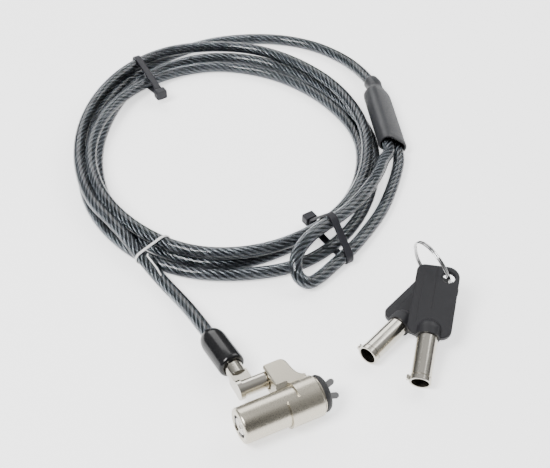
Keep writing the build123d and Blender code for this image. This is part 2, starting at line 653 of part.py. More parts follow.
coil = coil_block()
for name, (plane, circles, thick, width) in STRAPS.items():
    PARTS[name] = band(plane, circles, thick, width)
    coil -= groove(plane, circles, width)
PARTS["cable_coil"] = coil
PARTS["tie_1_head"] = tie_head(TIE_1, TIE_1_SPAN[0], TIE_1_HEAD_Z)
PARTS["tie_2_head"] = tie_head(TIE_2, TIE_2_SPAN[0], TIE_2_HEAD_Z)
for key in KEY_PLACES:
    PARTS[key + "_tube"] = key_location(key) * key_tube()
    PARTS[key + "_bow"] = key_location(key) * key_bow()
PARTS["key_ring"] = key_ring()

if __name__ == "__main__":
    for name, shape in PARTS.items():
        export_step(shape, "parts/" + name + ".step")
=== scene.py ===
"""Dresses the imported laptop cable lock: cable, lock head, sleeve, ties, keys, materials, stage and camera."""
import math

import bmesh
import bpy
from mathutils import Matrix, Vector
from mathutils.geometry import convex_hull_2d


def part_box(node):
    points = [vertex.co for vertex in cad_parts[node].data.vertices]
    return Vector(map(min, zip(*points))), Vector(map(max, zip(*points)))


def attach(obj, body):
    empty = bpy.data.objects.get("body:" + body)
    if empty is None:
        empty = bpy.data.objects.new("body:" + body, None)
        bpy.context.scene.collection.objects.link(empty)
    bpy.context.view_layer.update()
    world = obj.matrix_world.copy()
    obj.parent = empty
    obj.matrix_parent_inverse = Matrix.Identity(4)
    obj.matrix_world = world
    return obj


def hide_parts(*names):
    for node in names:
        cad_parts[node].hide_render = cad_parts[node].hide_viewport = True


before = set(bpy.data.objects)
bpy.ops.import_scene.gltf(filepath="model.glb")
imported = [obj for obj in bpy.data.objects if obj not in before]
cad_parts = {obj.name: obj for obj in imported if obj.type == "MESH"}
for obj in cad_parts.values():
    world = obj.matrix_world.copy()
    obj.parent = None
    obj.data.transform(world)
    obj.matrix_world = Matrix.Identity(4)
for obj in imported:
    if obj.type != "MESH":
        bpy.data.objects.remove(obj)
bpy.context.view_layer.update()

bl_info = {
    "name": "Laptop cable lock",
    "version": (1, 0, 0),
    "blender": (4, 5, 0),
    "location": "View3D > Sidebar > Cable lock",
    "description": "Builds the visible pieces of a laptop cable lock round its packed model",
    "category": "Object",
}

MM = 0.001
UP = Vector((0, 0, 1))
FLOOR_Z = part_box("cable_coil")[0][2]
FLOOR_LEVEL = FLOOR_Z / MM

# Places and sizes are in millimetres, except the stage's, which are in metres.

# the hank's base oval: centre, half axes and turn; first point, step and number of points round it
HANK_CENTRE = (29.0, 153.0)
HANK_HALF = (67.3, 85.6)
HANK_TURN = math.radians(-22.0)
HANK_START = 205.0
HANK_STEP = 22.5
HANK_POINTS = 54
# degrees round the hank, cable diameters outside the oval, diameters of the cable's middle above the floor
LANES = (
    (182, -0.05, 1.47), (126, 0.00, 1.42), (85, -0.38, 1.00), (50, -0.35, 1.15), (2.5, 0.42, 1.45),
    (-20, 0.30, 1.45), (-42.5, -0.20, 1.46), (-65, -1.00, 1.47), (-87.5, -1.30, 1.50), (-132, -1.30, 1.50),
    (-155, -1.02, 1.47), (-178, -0.95, 1.45), (-200, -1.55, 1.47), (-222, -2.22, 0.98), (-245, -2.72, 0.56),
    (-267, -3.00, 0.50), (-290, -3.02, 0.50), (-315, -2.30, 0.50), (-357.5, 0.00, 0.50), (-380, -0.10, 0.50),
    (-402.5, -0.72, 0.50), (-425, -1.38, 0.50), (-447.5, -1.15, 0.50), (-508, -1.34, 0.50),
    (-543, -1.50, 0.50), (-560, -1.58, 0.50), (-583, -1.30, 0.50), (-605, -1.50, 0.50), (-627, -1.48, 0.50),
    (-650, -1.42, 0.50), (-675, -0.85, 0.50), (-717.5, 1.05, 0.50), (-740, 1.02, 0.50), (-762.5, 1.08, 0.50),
    (-785, 0.90, 0.50), (-807.5, 0.00, 0.50), (-873, 0.05, 0.50), (-893, -0.32, 0.50), (-955, -0.30, 0.50),
    (-985, 1.00, 0.50),
)
# the rest of the cable's route: out of the boot to the hank, from the hank to the sleeve, and round the eye
BOOT_END = (-26.0, 45.5, -1.0)
LEAD = (
    (-26.6, 57.5, -1.7), (-27.4, 71, -4.4), (-29.6, 84, -5.1), (-31.6, 95, -3.6), (-34, 107, -1.2),
    (-35.9, 118.5, 0.0),
)
TAIL = (
    (82, 232, -5.2), (98, 222.5, -5.2), (110, 209.5, -5.2), (117, 194, -5.2), (118.6, 179, -4.0),
    (117, 163, -2.1),
)
EYE = (
    (88.3, 104.6, 0.8), (81.2, 96.4, 3.2), (70.6, 86.9, 5.8), (56.4, 78.0, 6.4), (47, 74.7, 6.2),
    (38.5, 72.8, 6.2), (30, 69.6, 6.0), (22.4, 65.4, 3.6), (18.9, 59.2, -0.8), (22.4, 54.8, -4.6),
    (30, 56.8, -4.9), (40, 61, -4.4), (49.5, 64.8, -4.2), (61.5, 72.1, -4.6), (73.5, 80.4, -5.2),
    (85.2, 91.4, -5.2), (94.6, 101.6, -5.1),
)
# spacing of the rope's rings and of the points that the ties are wound on
ROPE_STEP = 0.9
WINDING_STEP = 1.0
STRAND_SIDES = 6

# the sleeve: where it starts, its way and roll; how far the cable runs straight into it, where its crimp
# ends, and the eye's legs about there as steps past the crimp and shares of their half gap
SLEEVE_START = (113.8, 153.6, -2.1)
SLEEVE_WAY = (-0.344, -0.939)
SLEEVE_ROLL = math.radians(36.0)
SLEEVE_LENGTH = 42.0
SLEEVE_LIFT = 0.45
STRAIGHT_IN = 6.0
CRIMP_END = SLEEVE_LENGTH - 5.0
LEG_GAP = 2.8
LEG_STOPS = ((-24.0, 0.55), (-8.0, 1.0), (0.0, 1.0), (10.0, 1.0))
# rings of the flared neck: along the cable from its last bend, radius
NECK_RINGS = ((-1.0, 2.9), (-1.25, 3.35), (-0.8, 3.75), (1.0, 3.85), (3.6, 3.8))
# rings of the body and its open mouth: along the sleeve, half width, half thickness
BODY_RINGS = (
    (-2.6, 4.15, 3.9), (-0.9, 5.0, 4.0), (0.6, 6.1, 4.15), (2.2, 6.8, 4.3), (4.4, 7.1, 4.4), (14, 7.15, 4.4),
    (30, 7.1, 4.35), (34.5, 7.1, 4.35), (36.2, 7.0, 4.25), (38, 7.05, 4.3), (41.6, 7.15, 4.4),
    (42, 7.0, 4.25), (42, 6.35, 3.6), (41.5, 6.15, 3.4), (34.2, 6.1, 3.3),
)
# corner radius as a share of a ring's half thickness, and points round a ring
NECK_CORNER = 0.96
BODY_CORNER = 0.86
RING_POINTS = 48

# the boot: back end, yaw and drop; its outside up to the dome and its bore, along its axis and radius
BOOT_START = (-25.0, 26.0, 0.0)
BOOT_YAW = math.radians(3.0)
BOOT_DROP = math.radians(3.0)
BOOT_OUTSIDE = (
    (9.0, 3.6), (0.35, 3.62), (0.05, 3.8), (0.0, 4.25), (0.2, 4.8), (0.75, 5.18), (1.6, 5.3), (8.0, 5.3),
)
BOOT_BORE = ((19.3, 2.3), (18.0, 2.3), (10.0, 2.3))
DOME_MIDDLE = (14.0, 2.78)
DOME_HALF = (5.6, 2.52)
DOME_STEP = 9

# sections about the lock's axis: along X, radius
BARREL_SECTION = (
    (-8.5, 5.5), (-8.5, 6.8), (-8.6, 6.9), (-34.0, 6.9), (-34.45, 6.78), (-34.8, 6.5), (-34.95, 6.15),
    (-35.0, 5.9), (-35.0, 4.5), (-34.92, 4.36), (-34.75, 4.28), (-33.2, 4.28), (-33.2, 5.5),
)
POST_SECTION = (
    (-34.3, 0), (-34.35, 0.95), (-34.55, 1.15), (-34.62, 2.6), (-34.7, 2.75), (-34.7, 3.05), (-34.6, 3.24),
    (-34.4, 3.32), (-28.2, 3.32), (-28.2, 4.6), (-25.28, 4.6), (-25.28, 0),
)
# the keyway's two notches: their direction, half width, the radii of the rim that they cut and their own
NOTCH_TURN = math.radians(125.0)
NOTCH_HALF = 0.95
NOTCH_RIM = (4.2, 4.6)
NOTCH_RADIUS = 5.4
# the keyway's walls, which get a darker metal as painted shade in the recess, lie deeper than this and between
# these radii
KEYWAY_FACE = -34.55
KEYWAY_RADII = (3.2, 4.6)
# node, body, slot, material where it isn't the slot's own, width of its softened edges
CASTINGS = (
    ("nose_block", "nose", "steel", "satin_nickel", 0.15),
    ("hook_upper", "hook_u", "steel", "bright_steel", 0.35),
    ("hook_lower", "hook_l", "steel", "bright_steel", 0.35),
    ("bumper", "nose", "black_rubber", None, 0.4),
    ("retaining_ring", "nose", "spring_steel", None, 0.0),
    ("collar_housing", "collar", "satin_nickel", None, 0.3),
    ("boss_clip", "collar", "spring_steel", None, 0.0),
    ("elbow_fitting", "cable", "satin_nickel", "bright_nickel", 0.4),
)
INNER_METALS = (
    ("lock_cylinder", "steel"), ("key_pins", "brass"), ("driver_pins", "brass"),
    ("pin_springs", "spring_steel"), ("spindle", "steel"), ("return_spring", "spring_steel"),
    ("jaw_pins", "steel"), ("crimp_ferrule", "aluminium"),
)

# place and direction across the hank of each tie's plane, and where its strap runs past its head
TIES = {
    "tie_1": ((18.4, 222.0), (-0.03, 1.0), (-16.65, -2.2)),
    "tie_2": ((44.0, 72.0), (0.1, -1.0), (-15.55, -4.4)),
}
# half width and half thickness of a strap, its softened edge, and how far off it looks for strands
STRAP_HALF = (1.6, 0.55)
STRAP_EDGE = 0.22
STRAP_REACH = 24.0
# half of the height at which a head holds its strap, and its softened edge
HEAD_HALF = 1.5
HEAD_EDGE = 0.3
# the thread: place and direction of its plane, how far off it looks for strands, and its own radius
THREAD_PLACE = (-27.0, 99.8)
THREAD_WAY = (-0.99, -0.15)
THREAD_REACH = 14.0
THREAD_RADIUS = 0.3
# half the spread of the thread's two strands, and the share of it that is left where they meet
THREAD_SPREAD = 0.32
THREAD_PINCH = 0.35
THREAD_END = (
    (-30.6, 96.6, 0.35), (-31.2, 95.6, 0.3), (-30.6, 92.4, -0.3), (-30.0, 88.3, -1.0), (-29.8, 84.6, -1.9),
)
THREAD_END_RADIUS = 0.38
THREAD_SIDES = 8
# a band's round corners in degrees a point, its straights in parts, and the flattest cut that it allows for
ARC_STEP = 15
SPAN_PARTS = 4
FLATTEST_CUT = 0.5

# mouth, yaw and rise of each key, the height of its axis above the floor and its hole for the ring
KEY_PLACES = {"key_1": ((24.5, 10.5), 21.5, 2.5), "key_2": ((35.2, -10.0), 49.8, 14.5)}
KEY_HEIGHT = 4.2
KEY_HOLE = (46.8, -4.3, 0)
BLADE_SECTION = (
    (0.0, 3.45), (0.0, 4.1), (0.1, 4.2), (1.75, 4.2), (1.85, 4.1), (1.85, 3.8), (2.35, 3.8), (2.4, 4.0),
    (23.9, 4.0), (23.9, 3.4), (0.05, 3.4),
)
# place, size and edge of the lug on the blade and of the lines on both sides of the bow
BLADE_LUG = ((1.5, 4.75, 0), (2.0, 1.3, 1.5), 0.15)
BOW_EDGE = 0.18
BOW_SIDES = (1.25, -1.25)
BOW_LINES = (((41.5, 0.5), (19.0, 0.3, 0.24), 0.08), ((36.0, 5.6), (22.0, 0.3, 0.16), 0.05))
# the split ring: its radii, the way it leans, steps along its wire, and the share of them where it crosses
RING_RADIUS = 11.5
WIRE_RADIUS = 0.42
WIRE_SIDES = 10
RING_LEAN = (-0.1, 0.98, 0.16)
RING_STEPS = 288
CROSS_START = 0.44
CROSS_SHARE = 0.12

# edges turned by more degrees than these are shaded sharp, and on cast and moulded copies also rounded
CAST_ANGLE = 28.0
TURNED_ANGLE = 40.0
SLEEVE_ANGLE = 50.0
ROUND_ANGLE = 60.0
# steps of a turned piece, and the gap and the angle under which a copy's points and faces are joined
TURN_STEPS = 96
MERGE_GAP = 2e-6
FLAT_ANGLE = 0.6

FLOOR_HALF = 4.0
FLOOR_DROP = 0.00005
# height and grey level of the sky's lower stops, above which it rises to white
SKY_STOPS = ((0.05, 0.10), (0.35, 0.35))
# the dark screen in the sky: its direction, and strength from outside its edge to its middle
SCREEN_WAY = (-0.35, -0.60, 0.72)
SCREEN_EDGE = (0.72, 0.94)
SCREEN_LEVELS = (0.85, 0.07)
LIT_MIDDLE = Vector((0.03, 0.10, 0.0))
# place from the lit middle, width and watts
LIGHTS = {
    "Key light": ((-0.55, -0.15, 0.75), 0.4, 13.0),
    "Fill light": ((0.65, 0.10, 0.60), 0.6, 5.0),
    "Back light": ((0.10, 0.85, 0.65), 0.7, 6.0),
}
CAMERA_PLACE = (-0.1289, -0.2127, 0.3102)
CAMERA_AIM = Vector((0.0247, 0.0888, -0.00525))
CAMERA_LENS = 70.2
CAMERA_SENSOR = 36.0


class CableLockSizes(bpy.types.PropertyGroup):
    cable_diameter: bpy.props.FloatProperty(
        name="Cable diameter", description="Outside of the clear jacket", default=0.0055, unit="LENGTH",
    )
    rope_diameter: bpy.props.FloatProperty(
        name="Rope diameter", description="Steel rope inside the jacket", default=0.0052, unit="LENGTH",
    )
    strand_count: bpy.props.IntProperty(name="Strands", description="Strands laid side by side", default=7)
    lay_length: bpy.props.FloatProperty(
        name="Lay length", description="Length of one full turn of a strand", default=0.024, unit="LENGTH",
    )


class CableLockColours(bpy.types.PropertyGroup):
    nickel: bpy.props.FloatVectorProperty(
        name="Nickel", description="Satin nickel of the lock's body", default=(0.50, 0.465, 0.385),
        subtype="COLOR",
    )
    jacket: bpy.props.FloatVectorProperty(
        name="Jacket", description="Smoke tint of the clear jacket", default=(0.44, 0.47, 0.50),
        subtype="COLOR",
    )
    moulded: bpy.props.FloatVectorProperty(
        name="Moulded black", description="Matt black of the keys' bows", default=(0.012, 0.012, 0.014),
        subtype="COLOR",
    )


def sizes():
    return bpy.context.scene.cable_lock_sizes


def colours():
    return bpy.context.scene.cable_lock_colours


# ------------------------------------------------------------------ meshes
def finished(name, bm, body, slot, material, *nodes):
    """Writes a bmesh to a piece that rides on a body and stands for CAD nodes."""
    mesh = bpy.data.meshes.new(name)
    bm.normal_update()
    bm.to_mesh(mesh)
    bm.free()
    mesh.shade_smooth()
    mesh.materials.append(material)
    piece = bpy.data.objects.new(name, mesh)
    bpy.context.scene.collection.objects.link(piece)
    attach(piece, body)
    if nodes:
        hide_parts(*nodes)
    return piece


def merged_copy(node):
    """bmesh of a CAD node with its doubles merged and its flat faces joined."""
    bm = bmesh.new()
    bm.from_mesh(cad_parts[node].data)
    bmesh.ops.remove_doubles(bm, verts=bm.verts, dist=MERGE_GAP)
    bmesh.ops.dissolve_limit(bm, angle_limit=math.radians(FLAT_ANGLE), verts=bm.verts, edges=bm.edges)
    return bm


def sharpen(bm, angle):
    """Shades the edges sharper than the angle as sharp, and the rest smooth."""
    bm.normal_update()
    for edge in bm.edges:
        edge.smooth = len(edge.link_faces) == 2 and edge.calc_face_angle(0.0) < math.radians(angle)


def soften(bm, width):
    """Rounds a cast or moulded piece's sharp edges by a width in millimetres."""
    limit = math.radians(CAST_ANGLE)
    sharp = [e for e in bm.edges if len(e.link_faces) == 2 and e.calc_face_angle(0.0) > limit]
    if sharp and width > 0:
        bmesh.ops.bevel(
            bm, geom=sharp, offset=width * MM, offset_type="OFFSET", affect="EDGES", segments=2,
            profile=0.5, material=-1, clamp_overlap=True,
        )
    sharpen(bm, CAST_ANGLE)


def shade_evenly(piece):
    even = piece.modifiers.new("Even shading", "WEIGHTED_NORMAL")
    even.keep_sharp = True


def dressed_copy(name, node, body, slot, material, width):
    """A node's own shape with softened edges and even shading."""
    bm = merged_copy(node)
    soften(bm, width)
    shade_evenly(finished(name, bm, body, slot, material, node))


def turned(bm, profile, closed=True):
    """Turns (along X, radius) points in millimetres about X; a closed profile is a ring's section."""
    verts = [bm.verts.new((x * MM, r * MM, 0)) for x, r in profile]
    edges = [bm.edges.new(pair) for pair in zip(verts, verts[1:])]
    if closed:
        edges.append(bm.edges.new((verts[-1], verts[0])))
    bmesh.ops.spin(
        bm, geom=verts + edges, cent=(0, 0, 0), axis=(1, 0, 0), angle=2 * math.pi, steps=TURN_STEPS,
        use_merge=True,
    )
    bmesh.ops.remove_doubles(bm, verts=bm.verts, dist=1e-6)
    bmesh.ops.recalc_face_normals(bm, faces=bm.faces)


def block(bm, matrix, size, edge):
    """Adds a box with softened edges, in millimetres, placed by a matrix in metres."""
    part = bmesh.new()
    bmesh.ops.create_cube(part, size=1.0, matrix=Matrix.Diagonal((*[v * MM for v in size], 1.0)))
    bmesh.ops.bevel(
        part, geom=part.edges[:], offset=edge * MM, affect="EDGES", segments=2, profile=0.5, material=-1,
    )
    bmesh.ops.transform(part, matrix=matrix, verts=part.verts)
    mesh = bpy.data.meshes.new("block")
    part.to_mesh(mesh)
    part.free()
    bm.from_mesh(mesh)
    bpy.data.meshes.remove(mesh)


def shift(x, y, z):
    return Matrix.Translation((x * MM, y * MM, z * MM))


def eased(share):
    """Slow start and slow end between 0 and 1."""
    return share * share * (3 - 2 * share)


# ------------------------------------------------------------------ shader groups
def group(name, inputs, outputs):
    tree = bpy.data.node_groups.new(name, "ShaderNodeTree")
    for label, kind, default in inputs:
        socket = tree.interface.new_socket(name=label, in_out="INPUT", socket_type=kind)
        if default is not None:
            socket.default_value = default
    for label, kind in outputs:
        tree.interface.new_socket(name=label, in_out="OUTPUT", socket_type=kind)
    return tree, tree.nodes.new("NodeGroupInput"), tree.nodes.new("NodeGroupOutput")


def noise_node(tree, scale, detail, rough):
    node = tree.nodes.new("ShaderNodeTexNoise")
    node.inputs["Scale"].default_value = scale
    node.inputs["Detail"].default_value = detail
    node.inputs["Roughness"].default_value = rough
    return node


def map_range(tree, source, low, high, out_low, out_high):
    node = tree.nodes.new("ShaderNodeMapRange")
    node.inputs["From Min"].default_value = low
    node.inputs["From Max"].default_value = high
    node.inputs["To Min"].default_value = out_low
    node.inputs["To Max"].default_value = out_high
    tree.links.new(source, node.inputs["Value"])
    return node.outputs["Result"]


def surface_group():
    """Fine grain, soft blotches and handling marks, as two colours' mix and a roughness."""
    name = "Surface wear"
    if name in bpy.data.node_groups:
        return bpy.data.node_groups[name]
    tree, enter, leave = group(
        name,
        [("Colour", "NodeSocketColor", None), ("Worn colour", "NodeSocketColor", None),
         ("Grain size", "NodeSocketFloat", 900.0), ("Roughness low", "NodeSocketFloat", 0.3),
         ("Roughness high", "NodeSocketFloat", 0.45), ("Wear", "NodeSocketFloat", 0.3)],
        [("Colour", "NodeSocketColor"), ("Roughness", "NodeSocketFloat"), ("Height", "NodeSocketFloat")],
    )
    coords = tree.nodes.new("ShaderNodeTexCoord")
    blotch = noise_node(tree, 90.0, 4.0, 0.6)
    grain = noise_node(tree, 900.0, 2.0, 0.5)
    for node in (blotch, grain):
        tree.links.new(coords.outputs["Object"], node.inputs["Vector"])
    tree.links.new(enter.outputs["Grain size"], grain.inputs["Scale"])
    mask = map_range(tree, blotch.outputs["Fac"], 0.45, 0.75, 0.0, 1.0)
    amount = tree.nodes.new("ShaderNodeMath")
    amount.operation = "MULTIPLY"
    tree.links.new(mask, amount.inputs[0])
    tree.links.new(enter.outputs["Wear"], amount.inputs[1])
    mix = tree.nodes.new("ShaderNodeMix")
    mix.data_type = "RGBA"
    tree.links.new(amount.outputs[0], mix.inputs["Factor"])
    tree.links.new(enter.outputs["Colour"], mix.inputs[6])
    tree.links.new(enter.outputs["Worn colour"], mix.inputs[7])
    rough = tree.nodes.new("ShaderNodeMapRange")
    tree.links.new(grain.outputs["Fac"], rough.inputs["Value"])
    rough.inputs["From Min"].default_value = 0.3
    rough.inputs["From Max"].default_value = 0.7
    tree.links.new(enter.outputs["Roughness low"], rough.inputs["To Min"])
    tree.links.new(enter.outputs["Roughness high"], rough.inputs["To Max"])
    tree.links.new(mix.outputs[2], leave.inputs["Colour"])
    tree.links.new(rough.outputs["Result"], leave.inputs["Roughness"])
    tree.links.new(grain.outputs["Fac"], leave.inputs["Height"])
    return tree


def shade(name, colour, worn, metallic, rough, grain=900.0, bump=0.02, wear=0.3, coat=0.0, specular=0.5):
    """Principled material whose colour and roughness come from the shared wear group."""
    material = bpy.data.materials.new(name)
    material.use_nodes = True
    tree = material.node_tree
    shader = tree.nodes["Principled BSDF"]
    shader.inputs["Metallic"].default_value = metallic
    shader.inputs["Coat Weight"].default_value = coat
    shader.inputs["Coat Roughness"].default_value = 0.06
    shader.inputs["Specular IOR Level"].default_value = specular
    wearing = tree.nodes.new("ShaderNodeGroup")
    wearing.node_tree = surface_group()
    wearing.inputs["Colour"].default_value = (*colour, 1.0)
    wearing.inputs["Worn colour"].default_value = (*worn, 1.0)
    wearing.inputs["Grain size"].default_value = grain
    wearing.inputs["Roughness low"].default_value = rough[0]
    wearing.inputs["Roughness high"].default_value = rough[1]
    wearing.inputs["Wear"].default_value = wear
    tree.links.new(wearing.outputs["Colour"], shader.inputs["Base Color"])
    tree.links.new(wearing.outputs["Roughness"], shader.inputs["Roughness"])
    node = tree.nodes.new("ShaderNodeBump")
    node.inputs["Strength"].default_value = bump
    node.inputs["Distance"].default_value = 0.0002
    tree.links.new(wearing.outputs["Height"], node.inputs["Height"])
    tree.links.new(node.outputs["Normal"], shader.inputs["Normal"])
    return material


def clear_jacket():
    """Smoke-tinted clear vinyl: a transmitting shader with a slightly uneven surface."""
    material = bpy.data.materials.new("Clear smoke vinyl")
    material.use_nodes = True
    tree = material.node_tree
    shader = tree.nodes["Principled BSDF"]
    shader.inputs["Base Color"].default_value = (*colours().jacket, 1.0)
    shader.inputs["Transmission Weight"].default_value = 1.0
    shader.inputs["IOR"].default_value = 1.33
    coords = tree.nodes.new("ShaderNodeTexCoord")
    ripple = noise_node(tree, 160.0, 2.0, 0.5)
    tree.links.new(coords.outputs["Object"], ripple.inputs["Vector"])
    tree.links.new(map_range(tree, ripple.outputs["Fac"], 0.3, 0.7, 0.03, 0.09), shader.inputs["Roughness"])
    bump = tree.nodes.new("ShaderNodeBump")
    bump.inputs["Strength"].default_value = 0.10
    bump.inputs["Distance"].default_value = 0.0003
    tree.links.new(ripple.outputs["Fac"], bump.inputs["Height"])
    tree.links.new(bump.outputs["Normal"], shader.inputs["Normal"])
    return material


MATERIALS = {}


def mix_materials():
    """Mixes every finish: name, colour, worn colour, metallic, roughness from and to, then what differs."""
    nickel = tuple(colours().nickel)
    black = tuple(colours().moulded)
    MATERIALS.update(
        satin_nickel=shade(
            "Satin nickel", nickel, (0.38, 0.355, 0.30), 1.0, (0.25, 0.33), 3600.0, 0.006, 0.15,
        ),
        bright_nickel=shade(
            "Polished nickel", (0.50, 0.475, 0.42), (0.42, 0.395, 0.34), 1.0, (0.14, 0.22), 700.0, 0.004, 0.2,
        ),
        bright_steel=shade(
            "Plated steel", (0.50, 0.50, 0.50), (0.40, 0.40, 0.40), 1.0, (0.12, 0.20), 800.0, 0.01, 0.3,
        ),
        brass=shade("Brass", (0.66, 0.50, 0.24), (0.50, 0.36, 0.16), 1.0, (0.25, 0.4)),
        steel=shade("Turned steel", (0.50, 0.50, 0.50), (0.38, 0.38, 0.38), 1.0, (0.28, 0.42)),
        spring_steel=shade("Spring steel", (0.42, 0.42, 0.43), (0.30, 0.30, 0.31), 1.0, (0.25, 0.35)),
        aluminium=shade("Aluminium", (0.70, 0.70, 0.72), (0.55, 0.55, 0.57), 1.0, (0.3, 0.42)),
        black_rubber=shade(
            "Black rubber", (0.010, 0.010, 0.011), (0.024, 0.024, 0.025), 0.0, (0.55, 0.72),
            1800.0, 0.08, 0.4,
        ),
        black_vinyl=shade(
            "Glossy black vinyl", (0.006, 0.006, 0.007), (0.012, 0.012, 0.013), 0.0, (0.16, 0.26),
            500.0, 0.04, 0.3, coat=0.15, specular=0.3,
        ),
        black_shrink=shade(
            "Moulded sleeve", (0.018, 0.019, 0.022), (0.030, 0.031, 0.036), 0.0, (0.40, 0.55),
            1300.0, 0.08, 0.4,
        ),
        black_nylon=shade(
            "Black nylon", (0.012, 0.012, 0.016), (0.022, 0.022, 0.026), 0.0, (0.42, 0.58),
            1200.0, 0.05, 0.4, specular=0.3,
        ),
        black_plastic=shade(
            "Matt black plastic", black, (0.022, 0.022, 0.026), 0.0, (0.42, 0.60),
            2600.0, 0.14, 0.4, specular=0.3,
        ),
        clear_nylon=shade(
            "Milky nylon", (0.78, 0.78, 0.77), (0.66, 0.66, 0.65), 0.0, (0.25, 0.35), 900.0, 0.03, 0.3,
        ),
        rope=shade(
            "Galvanised rope", (0.30, 0.31, 0.32), (0.13, 0.14, 0.15), 1.0, (0.24, 0.40), 2200.0, 0.2, 0.9,
        ),
        clear_jacket=clear_jacket(),
    )


# ------------------------------------------------------------------ cable
def metres(points):
    return [Vector(p) * MM for p in points]


def lane(angle):
    """How far out and up the hank's strand lies at an angle, eased between the listed lanes."""
    if angle >= LANES[0][0]:
        return LANES[0][1:]
    for (a, out_a, up_a), (b, out_b, up_b) in zip(LANES, LANES[1:]):
        if b <= angle <= a:
            t = eased((a - angle) / (a - b))
            return out_a + (out_b - out_a) * t, up_a + (up_b - up_a) * t
    return LANES[-1][1:]


def hank_points():
    d = sizes().cable_diameter / MM
    half_a, half_b = HANK_HALF
    points = []
    for i in range(HANK_POINTS):
        angle = HANK_START - HANK_STEP * i
        out, up = lane(angle)
        a = math.radians(angle)
        place = Vector((half_a * math.cos(a), half_b * math.sin(a)))
        outwards = Vector((place.x / half_a ** 2, place.y / half_b ** 2)).normalized()
        place += outwards * out * d
        place.rotate(Matrix.Rotation(HANK_TURN, 2))
        points.append((HANK_CENTRE[0] + place.x, HANK_CENTRE[1] + place.y, FLOOR_LEVEL + up * d))
    return points


def sleeve_axes():
    """Directions along the sleeve, across its width and out of its wide face."""
    along = Vector((*SLEEVE_WAY, 0.0)).normalized()
    level, drop = math.cos(SLEEVE_ROLL), math.sin(SLEEVE_ROLL)
    across = Vector((-along.y * level, along.x * level, -drop))
    return along, across, along.cross(across)


def sleeve_point(along, across=0.0):
    way, side, _ = sleeve_axes()
    return tuple(Vector(SLEEVE_START) + way * along + side * across)


def cable_route():
    """The whole route, with the eye's two legs side by side in the sleeve."""
    legs = [
        [sleeve_point(CRIMP_END + past, share * half) for past, share in LEG_STOPS]
        for half in (-LEG_GAP, LEG_GAP)
    ]
    return [
        BOOT_END, *LEAD, *hank_points(), *TAIL, SLEEVE_START, sleeve_point(STRAIGHT_IN), *legs[0], *EYE,
        *legs[1][:0:-1],
    ]


def route_curve(name, points, bevel=0.0):
    """One open NURBS spline of order 3 that runs to its end points."""
    data = bpy.data.curves.new(name, "CURVE")
    data.dimensions = "3D"
    data.resolution_u = 12
    data.bevel_depth = bevel
    data.bevel_resolution = 6
    data.use_fill_caps = True
    spline = data.splines.new("NURBS")
    spline.points.add(len(points) - 1)
    for target, place in zip(spline.points, metres(points)):
        target.co = (*place, 1.0)
    spline.order_u = 3
    spline.use_endpoint_u = True
    piece = bpy.data.objects.new(name, data)
    bpy.context.scene.collection.objects.link(piece)
    return piece


def followed(curve, step):
    """Evenly spaced points and frames read from a curve with no bevel."""
    bpy.context.view_layer.update()
    mesh = bpy.data.meshes.new_from_object(curve.evaluated_get(bpy.context.evaluated_depsgraph_get()))
    line = [v.co.copy() for v in mesh.vertices]
    bpy.data.meshes.remove(mesh)
    places, left = [line[0]], step
    for a, b in zip(line, line[1:]):
        run = (b - a).length
        at = left
        while at <= run:
            places.append(a.lerp(b, at / run))
            at += step
        left = at - run
    ways = [(b - a).normalized() for a, b in zip(places, places[1:])]
    ways.append(ways[-1])
    side = ways[0].orthogonal().normalized()
    frames = []
    for place, way in zip(places, ways):
        side = (side - way * side.dot(way)).normalized()
        frames.append((place, side, way.cross(side)))
    return frames


def tube_along(bm, rings, radius, sides):
    """Skins one tube round (place, side, up) rings and closes its ends."""
    loops = []
    for place, side, up in rings:
        loop = []
        for k in range(sides):
            a = 2 * math.pi * k / sides
            loop.append(bm.verts.new(place + (side * math.cos(a) + up * math.sin(a)) * radius))
        loops.append(loop)
    for low, high in zip(loops, loops[1:]):
        for k in range(sides):
            bm.faces.new((low[k], low[(k + 1) % sides], high[(k + 1) % sides], high[k]))
    bm.faces.new(loops[0][::-1])
    bm.faces.new(loops[-1])


def centre_line(step):
    """Rings along the cable's middle, a step in millimetres apart."""
    guide = route_curve("cable_guide", cable_route())
    rings = followed(guide, step * MM)
    bpy.data.objects.remove(guide)
    return rings


def lay_rope(rings):
    """Winds the strands about the rings, each touching the next, with no core."""
    size = sizes()
    sine = math.sin(math.pi / size.strand_count)
    strand = size.rope_diameter / 2 * sine / (1 + sine)
    bm = bmesh.new()
    for k in range(size.strand_count):
        laid = []
        for i, (place, side, up) in enumerate(rings):
            a = 2 * math.pi * (k / size.strand_count + i * ROPE_STEP * MM / size.lay_length)
            out = side * math.cos(a) + up * math.sin(a)
            laid.append((place + out * (size.rope_diameter / 2 - strand), side, up))
        tube_along(bm, laid, strand, STRAND_SIDES)
    return finished("steel_rope", bm, "cable", "clear_jacket", MATERIALS["rope"])


class LayCable(bpy.types.Operator):
    """Lays the cable: a clear jacket over a laid steel rope, in one smooth line"""

    bl_idname = "cable_lock.lay_cable"
    bl_label = "Lay the cable"

    def execute(self, context):
        size = sizes()
        jacket = route_curve("cable_jacket", cable_route(), size.cable_diameter / 2)
        jacket.data.materials.append(MATERIALS["clear_jacket"])
        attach(jacket, "cable")
        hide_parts("cable_lead", "cable_coil", "cable_tail", "cable_eye")
        rings = centre_line(ROPE_STEP)
        rope = lay_rope(rings)
        return {"FINISHED"}


